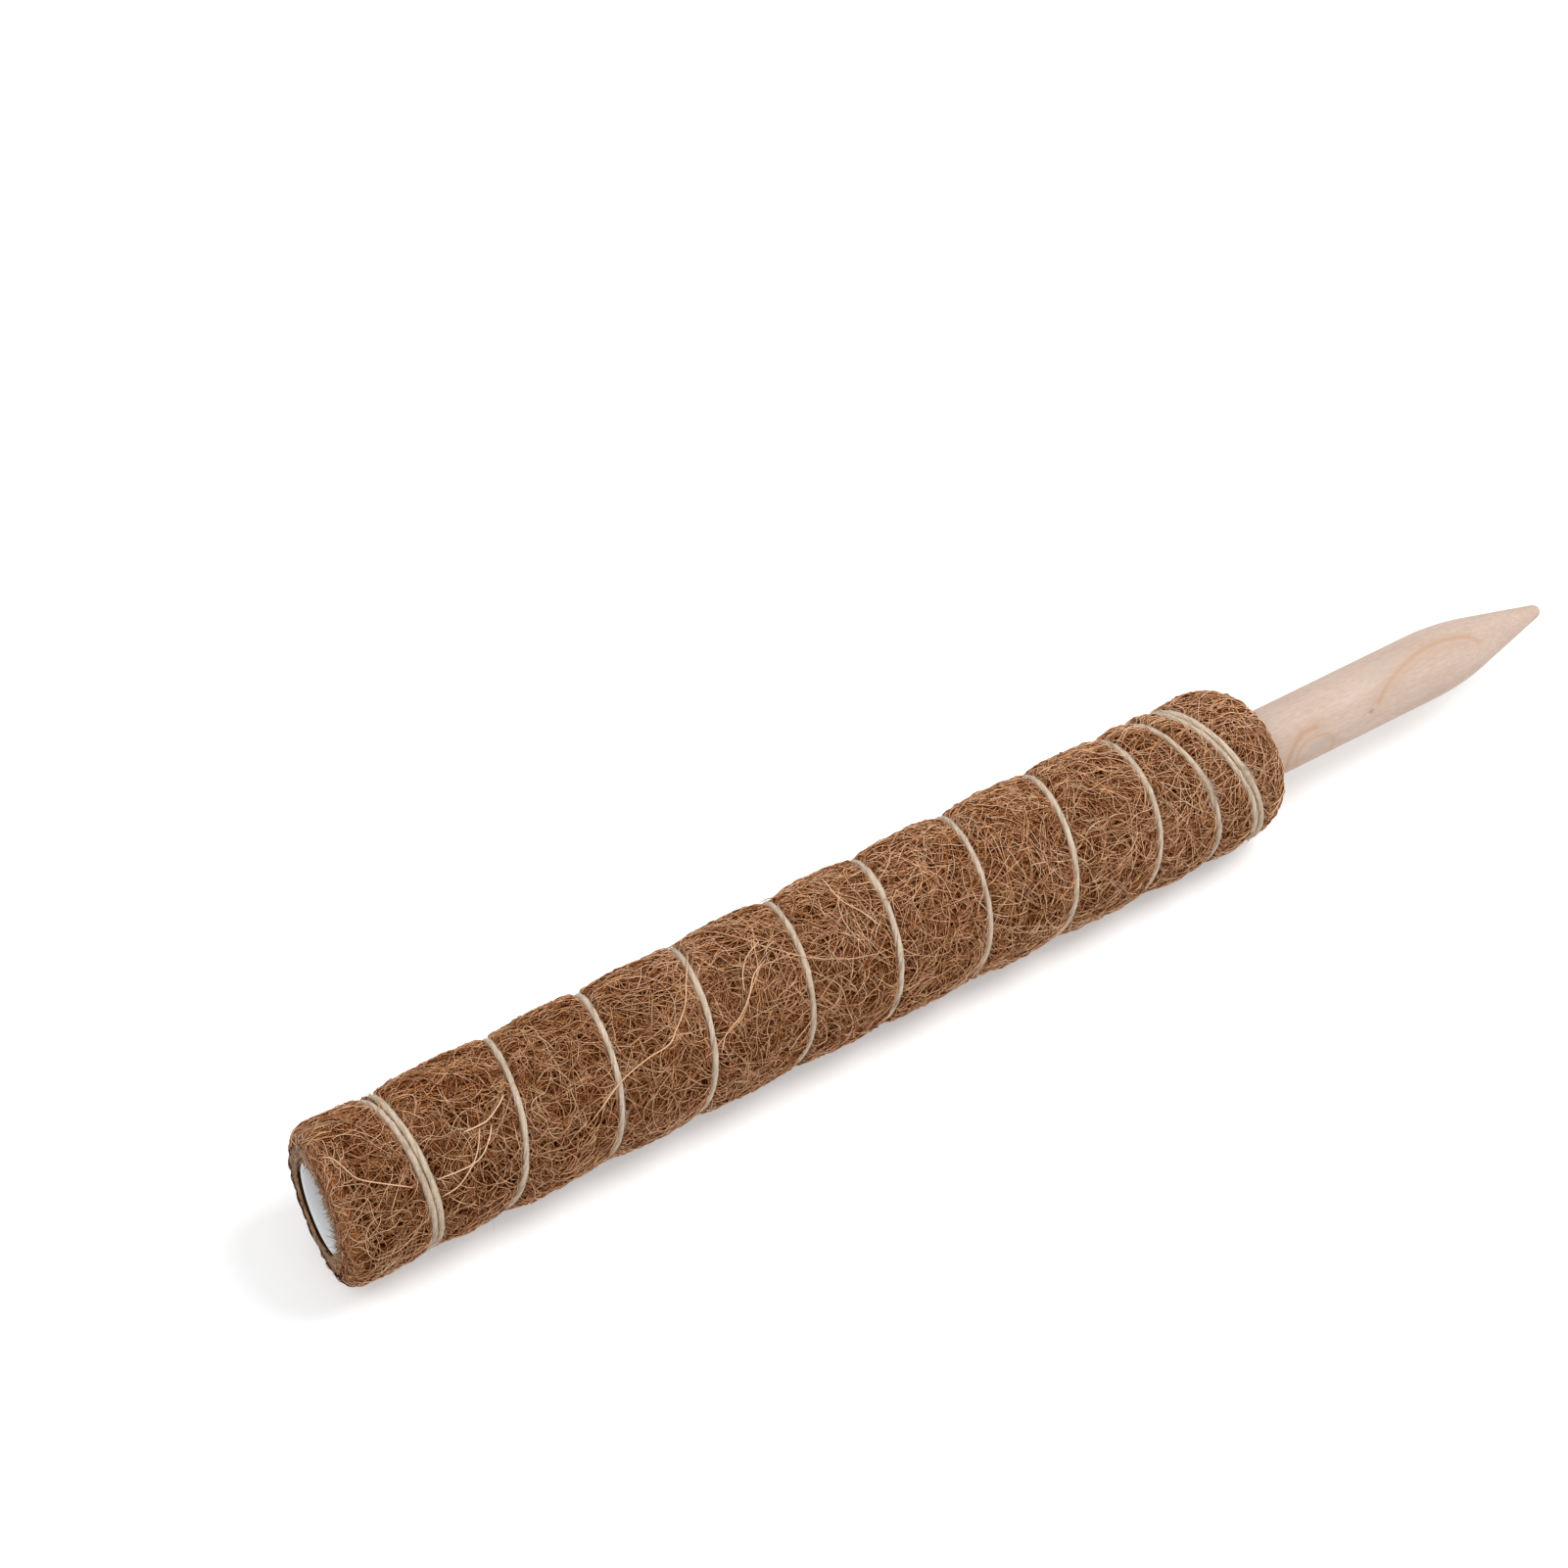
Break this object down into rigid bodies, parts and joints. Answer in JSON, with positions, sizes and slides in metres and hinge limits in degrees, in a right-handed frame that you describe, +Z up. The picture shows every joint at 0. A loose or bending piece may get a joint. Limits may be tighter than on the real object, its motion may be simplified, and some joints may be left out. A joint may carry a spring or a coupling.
{
  "type": "moss pole",
  "caption": "Moss pole for climbing plants: a plastic tube in a coir fibre sleeve bound with jute twine, with a pointed wooden stake pushed into its foot.",
  "frame": {"origin": "middle of the pole's bounding box, on the surface that it lies on", "axes": "+X along the pole from the open tube end to the stake's point, +Z up from the surface that the pole lies on, +Y to the side"},
  "size_m": [0.3098, 0.034, 0.0336],
  "materials": {
    "coir": "matted fibre",
    "jute": "twisted fibre",
    "pipe": "smooth",
    "stake_wood": "bare"
  },
  "bodies": {
    "pole": {"core_tube": "pipe", "coir_sleeve": "coir", "twine": "jute"},
    "stake": {"wooden_stake": "stake_wood"}
  },
  "joints": [
    {"name": "stake_pull", "type": "slide", "parent": "pole", "child": "stake", "axis": [1, 0, 0], "range_m": [0, 0.055]}
  ]
}
